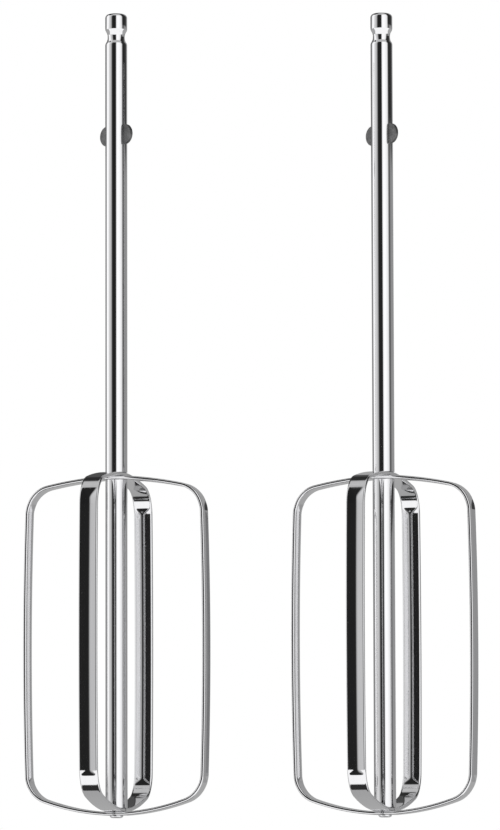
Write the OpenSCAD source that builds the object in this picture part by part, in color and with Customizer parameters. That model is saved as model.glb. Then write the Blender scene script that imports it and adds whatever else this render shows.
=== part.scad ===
// Pair of strip beaters for a hand mixer.
// Each beater is a drive shaft, two closed steel bands crossed at a right angle, and a spacer sleeve.
// The shaft necks down to a tie rod, which runs through both bands and the sleeve
// and is peened over under the lower band.
// Origin: on the left shaft's axis, level with the top of its driving lugs. +Z points to the drive end.

/* [Shaft] */
// Diameter of the shaft
shaft_d = 6; // [5.2:0.1:8]
// Length of the retained tip above the groove
tip_len = 4.6; // [3:0.1:8]
// Lead-in chamfer at the very top
tip_chamfer = 0.7; // [0.3:0.1:1.2]
// Chamfer at the tip's lower edge
tip_back_chamfer = 0.5; // [0.2:0.1:0.8]
// Height of the retaining groove
groove_len = 3.8; // [2.5:0.1:6]
// Diameter left at the bottom of the groove
groove_d = 4.4; // [3.6:0.1:4.8]
// Length of the plain journal between the groove and the driving lugs
journal_len = 22.4; // [12:0.1:40]
// Length of the plain stem between the lugs and the bands
stem_len = 90; // [40:0.1:140]

/* [Driving lugs] */
// Diameter of each coined lug
lug_d = 5.5; // [3:0.1:8]
// Thickness of each lug
lug_t = 1; // [0.6:0.1:1.6]
// Distance from the shaft's axis to the middle of a lug
lug_offset = 3.4; // [3:0.1:5]
// Diameter of the coining dies
die_d = 12; // [6:0.5:20]
// How far the dies' rims bit into the side of the shaft
die_bite = 0.3; // [0.1:0.05:0.6]
// Angle from the main band to the lugs
lug_turn = 30; // [0:1:90]

/* [Bands] */
// Thickness of the strip
strip_t = 1; // [0.6:0.05:1.4]
// Width of the strip
strip_w = 5.2; // [4.2:0.1:9]
// Height of each band, outside
band_h = 92.2; // [70:0.1:130]
// Distance from the shaft's axis to the outer edges of a band's arm
band_r = 26; // [21:0.1:40]
// Length of flat seat left beside the shaft's shoulder at each side
seat_margin = 0; // [0:0.1:2]
// Slope of the crown where it leaves the seat, in degrees
seat_slope = 3.5; // [2:0.5:9]
// Crown radius at the top
crown_top_r = 115; // [60:1:200]
// Crown radius at the bottom
crown_bottom_r = 68; // [48:1:200]
// Corner radius of the main band
main_corner_r = 8; // [5:0.1:13]
// Corner radius of the cross band
cross_corner_r = 8; // [5:0.1:13]

/* [Pressed crease] */
// Depth of the valley pressed into the outside of each arm
crease_depth = 0.5; // [0.2:0.05:1.2]
// Length over which the valley runs out at each end of an arm
crease_run = 3; // [1:0.1:8]
// Half width of the flat bottom of the valley
crease_round = 0.4; // [0.2:0.05:1.2]
// Flat margin left along each edge of the strip
crease_margin = 0.15; // [0.1:0.05:0.5]

/* [Tie rod and sleeve] */
// Diameter of the tie rod below the shaft's shoulder
tie_d = 3; // [2:0.1:3.6]
// How far the peened head spreads past the tie rod, all round
head_rim = 0.3; // [0.2:0.05:0.8]
// Height of the peened head
head_h = 0.7; // [0.4:0.1:1.5]
// Overlap of the driven fit of the bands on the tie rod, on the radius
drive_fit = 0.01; // [0.005:0.005:0.03]
// Clearance of the sleeve on the tie rod, on the radius
sleeve_gap = 0.05; // [0.02:0.01:0.15]

/* [Pair] */
// Distance between the two shafts
pair_spacing = 72.8; // [55:0.1:100]
// Angle of the left beater's main band from the line between the shafts
left_turn = 16; // [0:1:45]
// Angle of the right beater's main band from the line between the shafts
right_turn = 19; // [0:1:45]

/* [Hidden] */
$fn = 96;
shaft_r = shaft_d / 2;
tie_r = tie_d / 2;
groove_depth = (shaft_d - groove_d) / 2;
groove_r = ((groove_len / 2) ^ 2 + groove_depth ^ 2) / (2 * groove_depth);
groove_mid_z = journal_len + groove_len / 2;
tip_z = journal_len + groove_len;
top_z = tip_z + tip_len;
lug_z = -lug_d / 2;
shoulder_z = -lug_d - stem_len;
cross_z = shoulder_z;
main_z = shoulder_z - strip_t;
sleeve_top_z = main_z - strip_t;
foot_z = main_z - band_h;
sleeve_bottom_z = foot_z + 2 * strip_t;
head_chamfer = head_h * 0.4;
die_r = die_d / 2;
die_offset = shaft_r - die_bite + die_r;
die_reach = shaft_d;
cut_margin = 1;
head_r = tie_r + head_rim;
half_w = strip_w / 2;
seat_half = max(shaft_r, half_w + strip_t * tan(seat_slope / 2)) + seat_margin;
crease_half = half_w - crease_margin;
crease_bite = 0.1;
crown_steps = 10;
corner_steps = 12;

// Angle from the vertical at which the crown meets the corner.
function crown_end(crown_r, corner_r) =
    asin((band_r - seat_half - corner_r + crown_r * sin(seat_slope)) / (crown_r - corner_r));

// Centres of the crown and the corner, for one quarter of a band whose outside at the shaft
// is at [0, 0]. The crown starts at the end of the seat, already sloping.
function crown_centre(crown_r) = [seat_half, 0] - crown_r * [sin(seat_slope), cos(seat_slope)];
function corner_centre(crown_r, corner_r) =
    crown_centre(crown_r)
    + (crown_r - corner_r) * [sin(crown_end(crown_r, corner_r)), cos(crown_end(crown_r, corner_r))];

// Points along an arc about a centre, between two angles off the vertical.
function bend(centre, radius, from, to, steps) =
    [for (i = [1:steps])
        let (angle = from + (to - from) * i / steps)
        centre + radius * [sin(angle), cos(angle)]];

// One quarter of a band's outline, from the seat to the arm, at a depth below its outside.
function quarter(depth, crown_r, corner_r) =
    let (stop = crown_end(crown_r, corner_r))
    concat(
        [[seat_half - depth * tan(seat_slope / 2), -depth]],
        bend(crown_centre(crown_r), crown_r - depth, seat_slope, stop, crown_steps),
        bend(corner_centre(crown_r, corner_r), corner_r - depth, stop, 90, corner_steps)
    );

// The points of a list in the opposite order, each multiplied by a pair of signs.
function turned_back(points, signs) =
    [for (i = [len(points) - 1:-1:0]) [points[i][0] * signs[0], points[i][1] * signs[1]]];

// A band's closed outline at a depth below its outside, with the top of its outside at y = 0.
function loop_outline(depth, corner_r) =
    let (
        top = quarter(depth, crown_top_r, corner_r),
        bottom = quarter(depth, crown_bottom_r, corner_r),
        right = concat(
            top,
            [for (point = turned_back(bottom, [1, -1])) point - [0, band_h]]
        )
    )
    concat(right, turned_back(right, [-1, 1]));

// The wedge that a crease takes out of an arm's face, or adds behind it. It is widest at
// wide_x, comes down to a narrow flat at deep_x, and its faces pass face_x at the crease's edge.
module crease_wedge(wide_x, face_x, deep_x, top, bottom) {
    grow = (wide_x - face_x) / (face_x - deep_x);
    wide_half = crease_half + (crease_half - crease_round) * grow;
    wide_top = top + crease_run * grow;
    wide_bottom = bottom - crease_run * grow;
    deep_top = top - crease_run;
    deep_bottom = bottom + crease_run;
    polyhedron(
        points = [
            [wide_x, wide_bottom, -wide_half],
            [wide_x, wide_top, -wide_half],
            [wide_x, wide_top, wide_half],
            [wide_x, wide_bottom, wide_half],
            [deep_x, deep_bottom, -crease_round],
            [deep_x, deep_top, -crease_round],
            [deep_x, deep_top, crease_round],
            [deep_x, deep_bottom, crease_round]
        ],
        faces = [
            [3, 2, 1, 0],
            [4, 5, 6, 7],
            [0, 1, 5, 4],
            [1, 2, 6, 5],
            [2, 3, 7, 6],
            [3, 0, 4, 7]
        ]
    );
}

// Creases of both arms, seated in the face of the strip at face_x. A bite above zero makes
// the wedges stand through that face, so that they join it or cut it cleanly.
module creases(face_x, corner_r) {
    top_end = corner_centre(crown_top_r, corner_r)[1];
    bottom_end = -band_h - corner_centre(crown_bottom_r, corner_r)[1];
    for (side = [0, 1])
        mirror([side, 0, 0])
            crease_wedge(face_x + crease_bite, face_x, face_x - crease_depth, top_end, bottom_end);
}

// A closed band in the XZ plane, with a hole for the tie rod through both seats.
module band(top, corner_r) {
    difference() {
        translate([0, 0, top])
            rotate([90, 0, 0])
                difference() {
                    union() {
                        translate([0, 0, -half_w])
                            linear_extrude(height = strip_w)
                                difference() {
                                    polygon(loop_outline(0, corner_r));
                                    polygon(loop_outline(strip_t, corner_r));
                                }
                        creases(band_r - strip_t, corner_r);
                    }
                    creases(band_r, corner_r);
                }
        translate([0, 0, top - band_h - cut_margin])
            cylinder(h = band_h + 2 * cut_margin, r = tie_r - drive_fit);
    }
}

// The turned outline of the shaft and its tie rod, peened end included.
module shaft_outline() {
    difference() {
        polygon([
            [0, top_z],
            [shaft_r - tip_chamfer, top_z],
            [shaft_r, top_z - tip_chamfer],
            [shaft_r, tip_z + tip_back_chamfer],
            [shaft_r - tip_back_chamfer, tip_z],
            [shaft_r, tip_z - tip_back_chamfer],
            [shaft_r, shoulder_z],
            [tie_r, shoulder_z],
            [tie_r, foot_z],
            [head_r, foot_z],
            [head_r, foot_z - head_h + head_chamfer],
            [head_r - head_chamfer, foot_z - head_h],
            [0, foot_z - head_h]
        ]);
        translate([shaft_r - groove_depth + groove_r, groove_mid_z])
            circle(r = groove_r);
    }
}

// A disc square to the lugs, from one distance off their middle plane to another.
module lug_disc(offset, radius, from, to) {
    translate([offset, 0, lug_z])
        rotate([90, 0, 0])
            translate([0, 0, from])
                cylinder(h = to - from, r = radius);
}

// The shaft with its two lugs, coined out of the rod between round dies.
module shaft() {
    difference() {
        union() {
            rotate_extrude()
                shaft_outline();
            for (side = [-1, 1])
                lug_disc(side * lug_offset, lug_d / 2, -lug_t / 2, lug_t / 2);
        }
        for (side = [-1, 1]) {
            lug_disc(side * die_offset, die_r, lug_t / 2, die_reach);
            lug_disc(side * die_offset, die_r, -die_reach, -lug_t / 2);
        }
    }
}

// The tube that holds the bands apart along the tie rod.
module spacer_sleeve() {
    difference() {
        translate([0, 0, sleeve_bottom_z])
            cylinder(h = sleeve_top_z - sleeve_bottom_z, r = shaft_r);
        translate([0, 0, sleeve_bottom_z - cut_margin])
            cylinder(h = sleeve_top_z - sleeve_bottom_z + 2 * cut_margin, r = tie_r + sleeve_gap);
    }
}

// Places of the two beaters. A positive turn brings a main band's right arm toward the front.
module at_left() {
    rotate([0, 0, -left_turn])
        children();
}
module at_right() {
    translate([pair_spacing, 0, 0])
        rotate([0, 0, -right_turn])
            children();
}

module left_shaft() {
    color("silver")
        at_left()
            rotate([0, 0, -lug_turn])
                shaft();
}
module left_main_band() {
    color("gainsboro")
        at_left()
            band(main_z, main_corner_r);
}
module left_cross_band() {
    color("lightgray")
        at_left()
            rotate([0, 0, 90])
                band(cross_z, cross_corner_r);
}
module left_spacer_sleeve() {
    color("darkgray")
        at_left()
            spacer_sleeve();
}
module right_shaft() {
    color("silver")
        at_right()
            rotate([0, 0, -lug_turn])
                shaft();
}
module right_main_band() {
    color("gainsboro")
        at_right()
            band(main_z, main_corner_r);
}
module right_cross_band() {
    color("lightgray")
        at_right()
            rotate([0, 0, 90])
                band(cross_z, cross_corner_r);
}
module right_spacer_sleeve() {
    color("darkgray")
        at_right()
            spacer_sleeve();
}

left_shaft();
left_main_band();
left_cross_band();
left_spacer_sleeve();
right_shaft();
right_main_band();
right_cross_band();
right_spacer_sleeve();
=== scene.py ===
import math

import bmesh
import bpy
from mathutils import Matrix, Vector


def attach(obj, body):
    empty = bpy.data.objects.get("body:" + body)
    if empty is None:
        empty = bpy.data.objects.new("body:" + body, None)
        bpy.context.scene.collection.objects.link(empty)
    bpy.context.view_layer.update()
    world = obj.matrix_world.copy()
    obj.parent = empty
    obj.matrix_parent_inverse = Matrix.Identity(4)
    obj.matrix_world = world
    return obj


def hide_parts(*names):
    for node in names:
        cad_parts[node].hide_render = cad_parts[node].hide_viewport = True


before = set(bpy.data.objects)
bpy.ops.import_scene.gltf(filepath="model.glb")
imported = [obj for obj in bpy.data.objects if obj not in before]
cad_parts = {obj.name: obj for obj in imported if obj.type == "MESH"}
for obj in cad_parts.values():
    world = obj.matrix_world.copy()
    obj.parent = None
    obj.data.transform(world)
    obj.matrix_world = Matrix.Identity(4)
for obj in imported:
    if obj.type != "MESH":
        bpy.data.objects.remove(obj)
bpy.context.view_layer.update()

MM = 0.001
SCENE = bpy.context.scene

# Pair
PAIR_SPACING = 72.8
LEFT_TURN = -16.0
RIGHT_TURN = -19.0
LUG_TURN = -30.0

# Shaft, heights from the top of its lugs
SHAFT_R = 3.0
TIP_TOP = 30.8
TIP_FOOT = 26.2
GROOVE_FOOT = 22.4
GROOVE_DEEP_R = 1.9
SHOULDER = -95.5
TIE_R = 1.5
FOOT = -188.7
HEAD_R = 1.8
HEAD_FOOT = -189.4
SHAFT_STEPS = 128

# Driving lugs
LUG_R = 2.75
LUG_HALF = 0.5
LUG_OFFSET = 3.4
DIE_R = 6.0
DIE_OFFSET = 8.7

# Bands
STRIP_T = 1.0
STRIP_HALF = 2.6
STRIP_EDGE = 0.42
BAND_R = 26.0
BAND_H = 92.2
ARM_BOW = 0.7
SEAT_HALF = 3.0
SEAT_SLOPE = 3.5
CROWN_TOP_R = 115.0
CROWN_BOTTOM_R = 68.0
MAIN_CORNER_R = 8.0
CROSS_CORNER_R = 8.0
MAIN_TOP = -96.5
CROSS_TOP = -95.5

# Pressed crease
CREASE_DEPTH = 0.5
CREASE_EDGE = 2.45
CREASE_BOTTOM = 0.32

# Spacer sleeve
SLEEVE_TOP = -97.5
SLEEVE_FOOT = -186.7
SLEEVE_BORE = 1.55


# ---------------------------------------------------------------- camera and studio

def place_camera():
    data = bpy.data.cameras.new("studio_camera")
    data.sensor_fit = "VERTICAL"
    data.sensor_height = 24.0
    data.lens = 159.0
    data.clip_start = 0.05
    data.clip_end = 20.0
    camera = bpy.data.objects.new("studio_camera", data)
    SCENE.collection.objects.link(camera)
    rise = math.radians(5.2)
    aim = Vector((0.03645, 0.0, -0.0798))
    camera.location = aim - Vector((0.0, math.cos(rise), math.sin(rise))) * 1.5
    level = (aim - camera.location).to_track_quat("-Z", "Y").to_matrix()
    camera.rotation_euler = (level @ Matrix.Rotation(math.radians(-0.15), 3, "Z")).to_euler()
    SCENE.camera = camera


def lay_floor():
    bm = bmesh.new()
    bmesh.ops.create_circle(bm, cap_ends=True, segments=96, radius=0.75)
    bmesh.ops.translate(bm, verts=bm.verts, vec=(0.0364, 0.0, -0.262))
    mesh = bpy.data.meshes.new("pale_floor")
    bm.to_mesh(mesh)
    bm.free()
    floor = bpy.data.objects.new("pale_floor", mesh)
    SCENE.collection.objects.link(floor)
    paint = bpy.data.materials.new("pale_floor")
    paint.use_nodes = True
    shader = paint.node_tree.nodes["Principled BSDF"]
    shader.inputs["Base Color"].default_value = (0.86, 0.86, 0.86, 1.0)
    shader.inputs["Roughness"].default_value = 0.9
    mesh.materials.append(paint)
    floor.visible_glossy = False


def hang_softbox():
    data = bpy.data.lights.new("overhead_softbox", "AREA")
    data.shape = "DISK"
    data.size = 1.6
    data.energy = 26.0
    box = bpy.data.objects.new("overhead_softbox", data)
    box.location = (0.0364, -0.2, 1.3)
    box.visible_glossy = False
    SCENE.collection.objects.link(box)


# Brightness round the studio, by the angle from the front toward the left, in degrees
SIDE_LIGHT = (
    (-180, 0.40), (-125, 0.33), (-100, 0.34), (-84, 0.12), (-71, 0.12), (-64, 0.75), (-56, 1.0),
    (-45, 1.1), (-25, 1.25), (-8, 1.2), (-3, 0.9), (2, 0.08), (6, 0.018), (38, 0.02), (45, 0.1),
    (52, 0.5), (60, 0.62), (75, 0.78), (86, 0.95), (92, 1.25), (112, 1.25), (117, 0.85),
    (122, 0.36), (145, 0.22), (160, 0.32), (180, 0.40),
)
LOW_LIGHT = (
    (-180, 0.44), (-112, 0.44), (-84, 1.15), (84, 1.15), (112, 0.46), (180, 0.44),
)
HIGH_LIGHT = (
    (-180, 0.40), (-140, 0.36), (-128, 0.06), (-101, 0.03), (-72, 0.02), (-66, 0.4), (-58, 1.0),
    (-45, 1.1), (-25, 1.25), (-8, 1.2), (-3, 0.9), (2, 0.08), (6, 0.015), (42, 0.02), (48, 0.3),
    (58, 0.62), (75, 0.78), (90, 1.2), (112, 1.2), (122, 0.36), (150, 0.1), (180, 0.08),
)


def brightness_ring(tree, name, stops, angle):
    ramp = tree.nodes.new("ShaderNodeValToRGB")
    ramp.name = name
    ramp.label = name
    band = ramp.color_ramp
    band.interpolation = "LINEAR"
    for number, (degrees, level) in enumerate(stops):
        place = (degrees + 180.0) / 360.0
        if number == 0:
            stop = band.elements[0]
            stop.position = place
        elif number == 1:
            stop = band.elements[1]
            stop.position = place
        else:
            stop = band.elements.new(place)
        stop.color = (level, level, level * 1.004, 1.0)
    tree.links.new(angle, ramp.inputs["Fac"])
    return ramp.outputs["Color"]


def sum_node(tree, operation, first, second=None, third=None):
    node = tree.nodes.new("ShaderNodeMath")
    node.operation = operation
    for slot, value in zip(node.inputs, (first, second, third)):
        if value is None:
            continue
        if isinstance(value, (int, float)):
            slot.default_value = value
        else:
            tree.links.new(value, slot)
    return node.outputs[0]


def rise(tree, value, start, stop):
    node = tree.nodes.new("ShaderNodeMapRange")
    node.interpolation_type = "SMOOTHSTEP"
    tree.links.new(value, node.inputs["Value"])
    node.inputs["From Min"].default_value = start
    node.inputs["From Max"].default_value = stop
    return node.outputs["Result"]


def blend_light(tree, amount, low, high):
    node = tree.nodes.new("ShaderNodeMix")
    node.data_type = "RGBA"
    tree.links.new(amount, node.inputs["Factor"])
    for name, value in (("A", low), ("B", high)):
        slot = [s for s in node.inputs if s.name == name and s.type == "RGBA"][0]
        if isinstance(value, float):
            slot.default_value = (value, value, value, 1.0)
        else:
            tree.links.new(value, slot)
    return [s for s in node.outputs if s.type == "RGBA"][0]


def light_studio():
    world = bpy.data.worlds.new("studio")
    SCENE.world = world
    world.use_nodes = True
    tree = world.node_tree
    tree.nodes.clear()
    place = tree.nodes.new("ShaderNodeTexCoord")
    split = tree.nodes.new("ShaderNodeSeparateXYZ")
    tree.links.new(place.outputs["Generated"], split.inputs[0])
    left = sum_node(tree, "MULTIPLY", split.outputs["X"], -1.0)
    front = sum_node(tree, "MULTIPLY", split.outputs["Y"], -1.0)
    bearing = sum_node(tree, "ARCTAN2", left, front)
    turn = sum_node(tree, "MULTIPLY_ADD", bearing, 0.5 / math.pi, 0.5)
    lift = sum_node(tree, "ARCSINE", split.outputs["Z"])
    degrees = sum_node(tree, "MULTIPLY", lift, 180.0 / math.pi)

    side = brightness_ring(tree, "side_light", SIDE_LIGHT, turn)
    high = brightness_ring(tree, "high_light", HIGH_LIGHT, turn)
    wall = blend_light(tree, rise(tree, degrees, 7.6, 8.6), side, high)
    ahead = rise(tree, front, 0.0, 0.1)
    cornice = sum_node(tree, "MULTIPLY", rise(tree, degrees, 50.0, 55.0), ahead)
    wall = blend_light(tree, cornice, wall, 0.58)
    behind = rise(tree, split.outputs["Y"], -0.05, 0.05)
    gap = sum_node(tree, "MULTIPLY", rise(tree, degrees, 40.0, 46.0), behind)
    back = blend_light(tree, gap, wall, 0.03)
    roof = blend_light(tree, rise(tree, degrees, 66.0, 72.0), back, 0.60)
    drop = sum_node(tree, "MULTIPLY", degrees, -1.0)
    ground = brightness_ring(tree, "low_light", LOW_LIGHT, turn)
    below = blend_light(tree, rise(tree, drop, 6.0, 9.0), roof, ground)
    back_drop = sum_node(tree, "MULTIPLY", rise(tree, drop, 2.0, 5.0), behind)
    floor = blend_light(tree, back_drop, below, 0.44)
    pit = sum_node(tree, "MULTIPLY", rise(tree, drop, 55.0, 59.0), rise(tree, front, -0.1, -0.05))
    studio = blend_light(tree, pit, floor, 0.03)

    seen = tree.nodes.new("ShaderNodeBackground")
    seen.inputs["Color"].default_value = (1.0, 1.0, 1.0, 1.0)
    lit = tree.nodes.new("ShaderNodeBackground")
    tree.links.new(studio, lit.inputs["Color"])
    path = tree.nodes.new("ShaderNodeLightPath")
    choose = tree.nodes.new("ShaderNodeMixShader")
    out = tree.nodes.new("ShaderNodeOutputWorld")
    tree.links.new(path.outputs["Is Camera Ray"], choose.inputs[0])
    tree.links.new(lit.outputs[0], choose.inputs[1])
    tree.links.new(seen.outputs[0], choose.inputs[2])
    tree.links.new(choose.outputs[0], out.inputs["Surface"])
    SCENE.view_settings.view_transform = "Standard"


# ---------------------------------------------------------------- finishes

def polishing_marks():
    """Fine lines left along the metal by polishing, soft waves under the plating and dull specks."""
    tree = bpy.data.node_groups.new("polishing_marks", "ShaderNodeTree")
    face = tree.interface
    face.new_socket("Place", in_out="INPUT", socket_type="NodeSocketVector")
    for name, value in (
        ("Line Size", 2600.0), ("Polish", 0.05), ("Polish Spread", 0.03), ("Line Depth", 0.2),
        ("Wave Size", 120.0), ("Wave Depth", 0.2),
    ):
        socket = face.new_socket(name, in_out="INPUT", socket_type="NodeSocketFloat")
        socket.default_value = value
    face.new_socket("Roughness", in_out="OUTPUT", socket_type="NodeSocketFloat")
    face.new_socket("Tone", in_out="OUTPUT", socket_type="NodeSocketFloat")
    face.new_socket("Normal", in_out="OUTPUT", socket_type="NodeSocketVector")
    given = tree.nodes.new("NodeGroupInput")
    sent = tree.nodes.new("NodeGroupOutput")

    stretch = tree.nodes.new("ShaderNodeVectorMath")
    stretch.operation = "MULTIPLY"
    stretch.inputs[1].default_value = (1.0, 1.0, 0.02)
    tree.links.new(given.outputs["Place"], stretch.inputs[0])
    lines = tree.nodes.new("ShaderNodeTexNoise")
    lines.inputs["Detail"].default_value = 4.0
    lines.inputs["Roughness"].default_value = 0.6
    tree.links.new(stretch.outputs[0], lines.inputs["Vector"])
    tree.links.new(given.outputs["Line Size"], lines.inputs["Scale"])

    waves = tree.nodes.new("ShaderNodeTexNoise")
    waves.inputs["Detail"].default_value = 2.0
    tree.links.new(given.outputs["Place"], waves.inputs["Vector"])
    tree.links.new(given.outputs["Wave Size"], waves.inputs["Scale"])

    specks = tree.nodes.new("ShaderNodeTexVoronoi")
    specks.inputs["Scale"].default_value = 620.0
    tree.links.new(given.outputs["Place"], specks.inputs["Vector"])
    speck = sum_node(tree, "LESS_THAN", specks.outputs["Distance"], 0.055)

    haze = sum_node(tree, "MULTIPLY_ADD", waves.outputs[0], given.outputs["Polish Spread"], given.outputs["Polish"])
    fine = sum_node(tree, "MULTIPLY_ADD", lines.outputs[0], 0.03, haze)
    dull = sum_node(tree, "MULTIPLY_ADD", speck, 0.12, fine)
    tree.links.new(dull, sent.inputs["Roughness"])

    tone = sum_node(tree, "MULTIPLY_ADD", lines.outputs[0], 0.10, 0.95)
    tree.links.new(tone, sent.inputs["Tone"])

    swell = tree.nodes.new("ShaderNodeBump")
    swell.inputs["Distance"].default_value = 0.00005
    tree.links.new(given.outputs["Wave Depth"], swell.inputs["Strength"])
    tree.links.new(waves.outputs[0], swell.inputs["Height"])
    groove = tree.nodes.new("ShaderNodeBump")
    groove.inputs["Distance"].default_value = 0.000004
    tree.links.new(given.outputs["Line Depth"], groove.inputs["Strength"])
    tree.links.new(lines.outputs[0], groove.inputs["Height"])
    tree.links.new(swell.outputs[0], groove.inputs["Normal"])
    tree.links.new(groove.outputs[0], sent.inputs["Normal"])
    return tree


def plated_steel(name, marks, colour, values, uv=None):
    """Chrome plate over steel, with polishing marks along the part."""
    finish = bpy.data.materials.new(name)
    finish.use_nodes = True
    tree = finish.node_tree
    shader = tree.nodes["Principled BSDF"]
    shader.inputs["Metallic"].default_value = 1.0
    shader.inputs["IOR"].default_value = 2.5
    if uv:
        place = tree.nodes.new("ShaderNodeUVMap")
        place.uv_map = uv
        lie = tree.nodes.new("ShaderNodeMapping")
        lie.inputs["Rotation"].default_value = (math.radians(90), 0.0, 0.0)
        tree.links.new(place.outputs["UV"], lie.inputs["Vector"])
        where = lie.outputs["Vector"]
    else:
        place = tree.nodes.new("ShaderNodeTexCoord")
        where = place.outputs["Object"]
    group = tree.nodes.new("ShaderNodeGroup")
    group.node_tree = marks
    tree.links.new(where, group.inputs["Place"])
    for key, value in values.items():
        group.inputs[key].default_value = value
    tint = tree.nodes.new("ShaderNodeMix")
    tint.data_type = "RGBA"
    tint.blend_type = "MULTIPLY"
    tint.inputs["Factor"].default_value = 1.0
    tint.inputs[6].default_value = (*colour, 1.0)
    tree.links.new(group.outputs["Tone"], tint.inputs[7])
    tree.links.new(tint.outputs[2], shader.inputs["Base Color"])
    tree.links.new(group.outputs["Roughness"], shader.inputs["Roughness"])
    tree.links.new(group.outputs["Normal"], shader.inputs["Normal"])
    return finish


def coined_steel():
    """Matt grey faces that the coining dies left on the lugs."""
    finish = bpy.data.materials.new("coined_steel")
    finish.use_nodes = True
    tree = finish.node_tree
    shader = tree.nodes["Principled BSDF"]
    shader.inputs["Metallic"].default_value = 1.0
    place = tree.nodes.new("ShaderNodeTexCoord")
    grain = tree.nodes.new("ShaderNodeTexNoise")
    grain.inputs["Scale"].default_value = 2200.0
    grain.inputs["Detail"].default_value = 6.0
    tree.links.new(place.outputs["Object"], grain.inputs["Vector"])
    cloud = tree.nodes.new("ShaderNodeTexNoise")
    cloud.inputs["Scale"].default_value = 420.0
    tree.links.new(place.outputs["Object"], cloud.inputs["Vector"])
    shade = tree.nodes.new("ShaderNodeValToRGB")
    shade.color_ramp.elements[0].position = 0.3
    shade.color_ramp.elements[0].color = (0.13, 0.13, 0.132, 1.0)
    shade.color_ramp.elements[1].position = 0.75
    shade.color_ramp.elements[1].color = (0.25, 0.25, 0.252, 1.0)
    tree.links.new(cloud.outputs[0], shade.inputs["Fac"])
    tree.links.new(shade.outputs["Color"], shader.inputs["Base Color"])
    rough = sum_node(tree, "MULTIPLY_ADD", grain.outputs[0], 0.25, 0.38)
    tree.links.new(rough, shader.inputs["Roughness"])
    bump = tree.nodes.new("ShaderNodeBump")
    bump.inputs["Distance"].default_value = 0.00003
    bump.inputs["Strength"].default_value = 0.6
    tree.links.new(grain.outputs[0], bump.inputs["Height"])
    tree.links.new(bump.outputs[0], shader.inputs["Normal"])
    return finish


# ---------------------------------------------------------------- turned pieces

def rounded_outline(bm, corners):
    """Half outline of a turned piece. Each corner is its radius, its height and its rounding."""
    verts = [bm.verts.new((radius * MM, 0.0, height * MM)) for radius, height, _ in corners]
    bm.faces.new(verts)
    jobs = [(vert, corner[2]) for vert, corner in zip(verts, corners) if corner[2] > 0]
    for vert, rounding in jobs:
        bmesh.ops.bevel(
            bm, geom=[vert], offset=rounding * MM, offset_type="OFFSET", affect="VERTICES",
            segments=12 if rounding > 1 else 5, profile=0.5, material=-1,
        )
    bmesh.ops.delete(bm, geom=bm.faces[:], context="FACES_ONLY")
    on_axis = [e for e in bm.edges if all(abs(v.co.x) < 1e-7 for v in e.verts)]
    bmesh.ops.delete(bm, geom=on_axis, context="EDGES")


def turned(name, corners, steps):
    bm = bmesh.new()
    rounded_outline(bm, corners)
    bmesh.ops.spin(
        bm, geom=bm.verts[:] + bm.edges[:], cent=(0, 0, 0), axis=(0, 0, 1),
        angle=math.tau, steps=steps, use_merge=True, use_duplicate=False,
    )
    bmesh.ops.remove_doubles(bm, verts=bm.verts[:], dist=1e-7)
    bmesh.ops.recalc_face_normals(bm, faces=bm.faces[:])
    mesh = bpy.data.meshes.new(name)
    bm.to_mesh(mesh)
    bm.free()
    return mesh


def lug_blank(radius_low, radius_high, low, high, offset, rounding):
    """A round blank square to a lug's faces, from one distance off its middle plane to another."""
    bm = bmesh.new()
    bmesh.ops.create_cone(
        bm, cap_ends=True, segments=96, radius1=radius_low * MM, radius2=radius_high * MM,
        depth=(high - low) * MM,
    )
    if rounding:
        rims = [e for e in bm.edges if abs(e.verts[0].co.z - e.verts[1].co.z) < 1e-9]
        bmesh.ops.bevel(
            bm, geom=rims, offset=rounding * MM, offset_type="OFFSET", affect="EDGES",
            segments=4, profile=0.5, material=-1,
        )
    place = (
        Matrix.Translation((offset * MM, 0, -LUG_R * MM))
        @ Matrix.Rotation(math.radians(90), 4, "X")
        @ Matrix.Translation((0, 0, (low + high) / 2 * MM))
    )
    bmesh.ops.transform(bm, matrix=place, verts=bm.verts[:])
    bmesh.ops.recalc_face_normals(bm, faces=bm.faces[:])
    mesh = bpy.data.meshes.new("lug_blank")
    bm.to_mesh(mesh)
    bm.free()
    return mesh


def pressed(mesh, tool_mesh, operation):
    """The mesh after one press of a tool: cut away by it, or joined with it."""
    body = bpy.data.objects.new("press_body", mesh)
    tool = bpy.data.objects.new("press_tool", tool_mesh)
    SCENE.collection.objects.link(body)
    SCENE.collection.objects.link(tool)
    press = body.modifiers.new("press", "BOOLEAN")
    press.operation = operation
    press.solver = "EXACT"
    press.object = tool
    bpy.context.view_layer.update()
    result = bpy.data.meshes.new_from_object(body.evaluated_get(bpy.context.evaluated_depsgraph_get()))
    bpy.data.objects.remove(body)
    bpy.data.objects.remove(tool)
    return result


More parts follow.
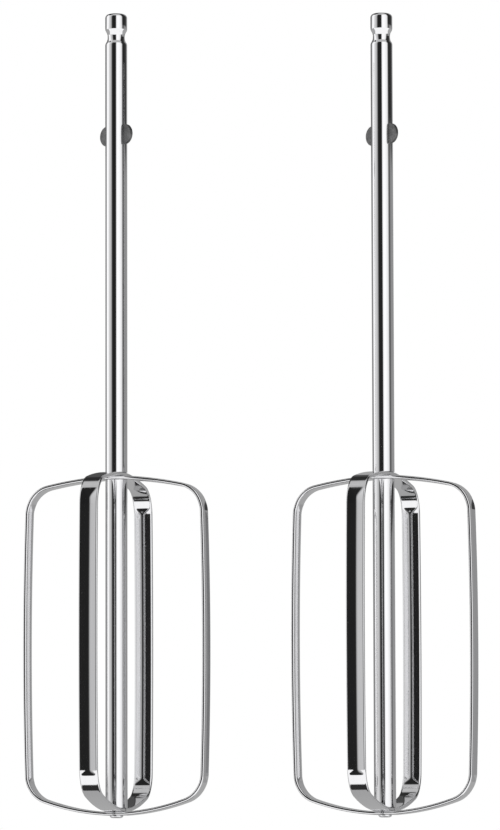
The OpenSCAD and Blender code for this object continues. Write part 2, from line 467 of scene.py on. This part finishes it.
def make_shaft():
    corners = (
        (0.0, TIP_TOP, 0.0),
        (SHAFT_R - 0.62, TIP_TOP - 0.05, 0.5),
        (SHAFT_R, TIP_TOP - 0.75, 0.35),
        (SHAFT_R, TIP_FOOT + 0.1, 0.3),
        (GROOVE_DEEP_R, (TIP_FOOT + GROOVE_FOOT) / 2, 1.5),
        (SHAFT_R, GROOVE_FOOT, 0.3),
        (SHAFT_R, SHOULDER, 0.08),
        (TIE_R, SHOULDER, 0.0),
        (TIE_R, FOOT, 0.0),
        (HEAD_R, FOOT, 0.05),
        (HEAD_R, HEAD_FOOT + 0.3, 0.2),
        (HEAD_R - 0.55, HEAD_FOOT, 0.25),
        (0.0, HEAD_FOOT, 0.0),
    )
    mesh = turned("shaft", corners, SHAFT_STEPS)
    for side in (-1, 1):
        for low, high in ((LUG_HALF, 6.0), (-6.0, -LUG_HALF)):
            radii = (DIE_R - 0.3, DIE_R + 1.2) if low > 0 else (DIE_R + 1.2, DIE_R - 0.3)
            mesh = pressed(mesh, lug_blank(*radii, low, high, side * DIE_OFFSET, 0), "DIFFERENCE")
    for side in (-1, 1):
        mesh = pressed(mesh, lug_blank(LUG_R, LUG_R, -LUG_HALF, LUG_HALF, side * LUG_OFFSET, 0.16), "UNION")
    mesh.materials.clear()
    return mesh


def mark_coined_faces(mesh):
    """The lugs' matt faces take the second finish."""
    for face in mesh.polygons:
        x, y, z = (face.center[axis] / MM for axis in range(3))
        if -2 * LUG_R - 0.05 < z < 0.05 and abs(y) < LUG_HALF + 0.03 and abs(x) > 2.0:
            face.material_index = 1


def make_sleeve():
    corners = (
        (SLEEVE_BORE, SLEEVE_TOP, 0.05),
        (SHAFT_R, SLEEVE_TOP, 0.12),
        (SHAFT_R, SLEEVE_FOOT, 0.12),
        (SLEEVE_BORE, SLEEVE_FOOT, 0.05),
    )
    return turned("sleeve", corners, SHAFT_STEPS)


# ---------------------------------------------------------------- strip bands

def strip_section(bm):
    """Outline of the rolled strip across its length, with its edges rounded, its outside up."""
    bmesh.ops.create_grid(bm, x_segments=1, y_segments=1, size=1.0)
    for vert in bm.verts:
        across = STRIP_HALF * MM * (1 if vert.co.x > 0 else -1)
        vert.co = Vector((0.0, across, 0.0 if vert.co.y > 0 else -STRIP_T * MM))
    bmesh.ops.bevel(
        bm, geom=bm.verts[:], offset=STRIP_EDGE * MM, offset_type="OFFSET", affect="VERTICES",
        segments=6, profile=0.5, material=-1,
    )
    bmesh.ops.delete(bm, geom=bm.faces[:], context="FACES_ONLY")
    broad = [e for e in bm.edges if e.calc_length() > STRIP_HALF * MM]
    bmesh.ops.subdivide_edges(bm, edges=broad, cuts=25)


def crown_end(crown_r, corner_r):
    reach = BAND_R - SEAT_HALF - corner_r + crown_r * math.sin(math.radians(SEAT_SLOPE))
    return math.degrees(math.asin(reach / (crown_r - corner_r)))


def arc_centres(crown_r, corner_r):
    """Centres of a crown and its corner, below a band's outside at the shaft."""
    slope = math.radians(SEAT_SLOPE)
    stop = math.radians(crown_end(crown_r, corner_r))
    crown = (SEAT_HALF - crown_r * math.sin(slope), -crown_r * math.cos(slope))
    gap = crown_r - corner_r
    return crown, (crown[0] + gap * math.sin(stop), crown[1] + gap * math.cos(stop))


def run_straight(bm, edges, step, count):
    for _ in range(count):
        grown = bmesh.ops.extrude_edge_only(bm, edges=edges)["geom"]
        verts = [g for g in grown if isinstance(g, bmesh.types.BMVert)]
        bmesh.ops.translate(bm, verts=verts, vec=Vector(step) * (MM / count))
        edges = [g for g in grown if isinstance(g, bmesh.types.BMEdge) and all(v in set(verts) for v in g.verts)]
    return edges


def run_round(bm, edges, centre, turn, steps):
    made = bmesh.ops.spin(
        bm, geom=edges, cent=(centre[0] * MM, 0.0, centre[1] * MM), axis=(0, 1, 0),
        angle=math.radians(turn), steps=steps, use_duplicate=False,
    )
    return [g for g in made["geom_last"] if isinstance(g, bmesh.types.BMEdge)]


def bend_strip(bm, corner_r):
    """Half of a closed band: seat, crown, corner, arm, corner, crown and seat."""
    strip_section(bm)
    edges = bm.edges[:]
    knee_r = 8.0
    knee_run = knee_r * math.tan(math.radians(SEAT_SLOPE / 2))
    edges = run_straight(bm, edges, (SEAT_HALF - knee_run, 0, 0), 2)
    edges = run_round(bm, edges, (SEAT_HALF - knee_run, -knee_r), SEAT_SLOPE, 4)
    crown, corner = arc_centres(CROWN_TOP_R, corner_r)
    stop = crown_end(CROWN_TOP_R, corner_r)
    edges = run_round(bm, edges, crown, stop - SEAT_SLOPE, 14)
    edges = run_round(bm, edges, corner, 90 - stop, 26)
    low_crown, low_corner = arc_centres(CROWN_BOTTOM_R, corner_r)
    arm = BAND_H + corner[1] + low_corner[1]
    edges = run_straight(bm, edges, (0, 0, -arm), 110)
    stop = crown_end(CROWN_BOTTOM_R, corner_r)
    edges = run_round(bm, edges, (low_corner[0], -BAND_H - low_corner[1]), 90 - stop, 26)
    edges = run_round(bm, edges, (low_crown[0], -BAND_H - low_crown[1]), stop - SEAT_SLOPE, 14)
    edges = run_round(bm, edges, (SEAT_HALF - knee_run, -BAND_H + knee_r), SEAT_SLOPE, 4)
    run_straight(bm, edges, (-(SEAT_HALF - knee_run), 0, 0), 2)


def soft_least(a, b, soft):
    gap = max(soft - abs(a - b), 0.0) / soft
    return min(a, b) - gap * gap * soft / 4


def crease_at(across, above, below, reach):
    """Depth of the crease at a distance across the strip, above the arm's foot and below its head."""
    side = CREASE_DEPTH * (CREASE_EDGE - abs(across)) / (CREASE_EDGE - CREASE_BOTTOM)
    head = CREASE_DEPTH * (below + reach[0]) / reach[1]
    foot = CREASE_DEPTH * (above + reach[2]) / reach[3]
    depth = soft_least(soft_least(side, CREASE_DEPTH, 0.10), soft_least(head, foot, 0.10), 0.10)
    return -soft_least(-depth, 0.0, 0.05)


def press_creases(bm, corner_r, reaches):
    """Pushes each arm's middle toward the shaft. The crease runs out in the corners."""
    _, corner = arc_centres(CROWN_TOP_R, corner_r)
    _, low_corner = arc_centres(CROWN_BOTTOM_R, corner_r)
    head_z, foot_z = corner[1], -BAND_H - low_corner[1]
    for vert in bm.verts:
        x, y, z = (vert.co[axis] / MM for axis in range(3))
        side = 1 if x > 0 else -1
        outward = Vector((side, 0, 0))
        above, below = z - foot_z, head_z - z
        if z > head_z or z < foot_z:
            centre = corner if z > head_z else (low_corner[0], foot_z)
            ray = Vector((abs(x) - centre[0], 0, z - (head_z if z > head_z else foot_z)))
            if ray.x <= 0:
                continue
            angle = math.atan2(abs(ray.z), ray.x)
            run = angle * corner_r
            outward = Vector((side * math.cos(angle), 0, math.copysign(math.sin(angle), ray.z)))
            if z > head_z:
                below = -run
            else:
                above = -run
        depth = crease_at(y, above, below, reaches[side])
        if depth > 0:
            vert.co -= outward * depth * MM


def bow_arms(bm, corner_r):
    """Springs the arms out a little in the middle, so that the corners stand closer in."""
    head_z, foot_z = -corner_r * 0.9, -BAND_H + corner_r * 0.9
    middle, half = (head_z + foot_z) / 2, (head_z - foot_z) / 2
    for vert in bm.verts:
        drop = min(abs(vert.co.z / MM - middle) / half, 1.0)
        vert.co.x *= 1 - ARM_BOW / BAND_R * drop ** 2


def lay_strip_map(bm):
    """A map that runs along the strip, for the marks that follow its length."""
    layer = bm.loops.layers.uv.new("strip")
    middle = -BAND_H / 2
    for face in bm.faces:
        left = face.calc_center_median().x < 0
        for loop in face.loops:
            x, y, z = (loop.vert.co[axis] / MM for axis in range(3))
            angle = math.atan2(max(abs(x), 1e-6), z - middle)
            along = -angle if left else angle
            loop[layer].uv = (y * MM, along * BAND_R * MM)


def make_band(name, top, corner_r, reaches):
    bm = bmesh.new()
    bend_strip(bm, corner_r)
    bmesh.ops.mirror(
        bm, geom=bm.verts[:] + bm.edges[:] + bm.faces[:], matrix=Matrix.Identity(4),
        merge_dist=1e-6, axis="X",
    )
    bmesh.ops.remove_doubles(bm, verts=bm.verts[:], dist=1e-6)
    press_creases(bm, corner_r, reaches)
    bow_arms(bm, corner_r)
    bmesh.ops.recalc_face_normals(bm, faces=bm.faces[:])
    lay_strip_map(bm)
    bmesh.ops.translate(bm, verts=bm.verts[:], vec=(0, 0, top * MM))
    mesh = bpy.data.meshes.new(name)
    bm.to_mesh(mesh)
    bm.free()
    return mesh


# ---------------------------------------------------------------- assembly

def finish_piece(name, mesh, place, finishes, body, node):
    mesh = mesh.copy()
    mesh.name = name
    mesh.transform(place)
    for finish in finishes:
        mesh.materials.append(finish)
    mesh.shade_smooth()
    mesh.set_sharp_from_angle(angle=math.radians(38))
    piece = bpy.data.objects.new(name, mesh)
    SCENE.collection.objects.link(piece)
    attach(piece, body)
    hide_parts(node)
    return piece


def build_beaters():
    marks = polishing_marks()
    chrome = (0.80, 0.80, 0.81)
    rod = plated_steel("shaft_chrome", marks, chrome, {
        "Line Size": 2400.0, "Polish": 0.02, "Polish Spread": 0.03, "Line Depth": 0.10,
        "Wave Size": 90.0, "Wave Depth": 0.10,
    })
    tube = plated_steel("sleeve_chrome", marks, chrome, {
        "Line Size": 2800.0, "Polish": 0.025, "Polish Spread": 0.03, "Line Depth": 0.12,
        "Wave Size": 110.0, "Wave Depth": 0.12,
    })
    strip = plated_steel("band_chrome", marks, (0.79, 0.79, 0.80), {
        "Line Size": 2000.0, "Polish": 0.03, "Polish Spread": 0.04, "Line Depth": 0.12,
        "Wave Size": 160.0, "Wave Depth": 0.16,
    }, "strip")
    coined = coined_steel()

    shaft = make_shaft()
    mark_coined_faces(shaft)
    sleeve = make_sleeve()
    even = (4.0, 2.4, 2.4, 1.4)
    near = (4.6, 2.5, 1.8, 1.1)
    far = (2.6, 2.0, 3.6, 1.6)
    main = make_band("main_band", MAIN_TOP, MAIN_CORNER_R, {1: even, -1: even})
    cross = make_band("cross_band", CROSS_TOP, CROSS_CORNER_R, {1: far, -1: near})

    for beater, offset, turn in (("left", 0.0, LEFT_TURN), ("right", PAIR_SPACING, RIGHT_TURN)):
        stand = Matrix.Translation((offset * MM, 0, 0)) @ Matrix.Rotation(math.radians(turn), 4, "Z")
        lug_turn = Matrix.Rotation(math.radians(LUG_TURN), 4, "Z")
        square = Matrix.Rotation(math.radians(90), 4, "Z")
        body = beater + "_beater"
        for piece, mesh, place, finishes, node, slot in (
            ("shaft_with_lugs", shaft, stand @ lug_turn, (rod, coined), "_shaft", "shaft_steel"),
            ("main_band_strip", main, stand, (strip,), "_main_band", "band_steel"),
            ("cross_band_strip", cross, stand @ square, (strip,), "_cross_band", "band_steel"),
            ("sleeve_tube", sleeve, stand, (tube,), "_spacer_sleeve", "sleeve_steel"),
        ):
            finish_piece(beater + "_" + piece, mesh, place, finishes, body, beater + node)


place_camera()
light_studio()
lay_floor()
hang_softbox()
build_beaters()

bpy.context.view_layer.update()
